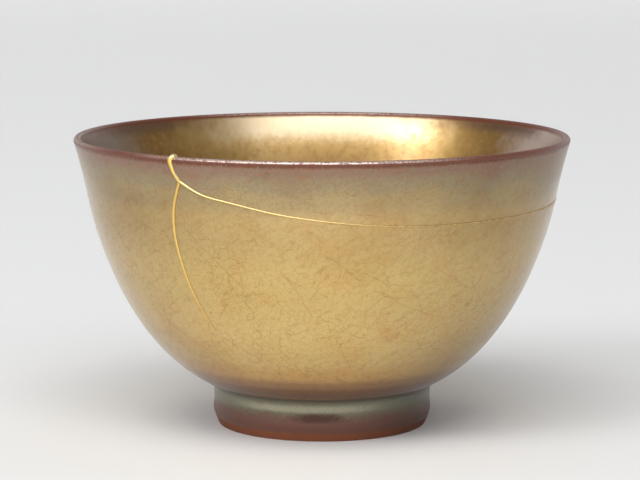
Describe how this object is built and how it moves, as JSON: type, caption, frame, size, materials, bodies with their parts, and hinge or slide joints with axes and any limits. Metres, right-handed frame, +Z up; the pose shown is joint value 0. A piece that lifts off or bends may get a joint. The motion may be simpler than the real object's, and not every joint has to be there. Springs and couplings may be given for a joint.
{
  "type": "kintsugi bowl",
  "caption": "Footed round tea bowl of lustre-glazed ceramic with a thin flared lip, open and hollow, its forked crack mended with a raised gold lacquer seam.",
  "frame": {"origin": "centre of the foot ring's resting face, on the bowl's axis", "axes": "+Z up along the bowl's axis, the mended crack at the front, on the -Y side and to the left (-X)"},
  "size_m": [0.12, 0.12, 0.071],
  "materials": {
    "lustre_glaze": "satin gold lustre over fine crackle, iron-brown lip, grey-green foot with a bare red clay base",
    "gold_lacquer": "gold powder burnished on raised lacquer"
  },
  "bodies": {
    "root": {"bowl": "lustre_glaze", "gold_seam": "gold_lacquer"}
  },
  "joints": []
}
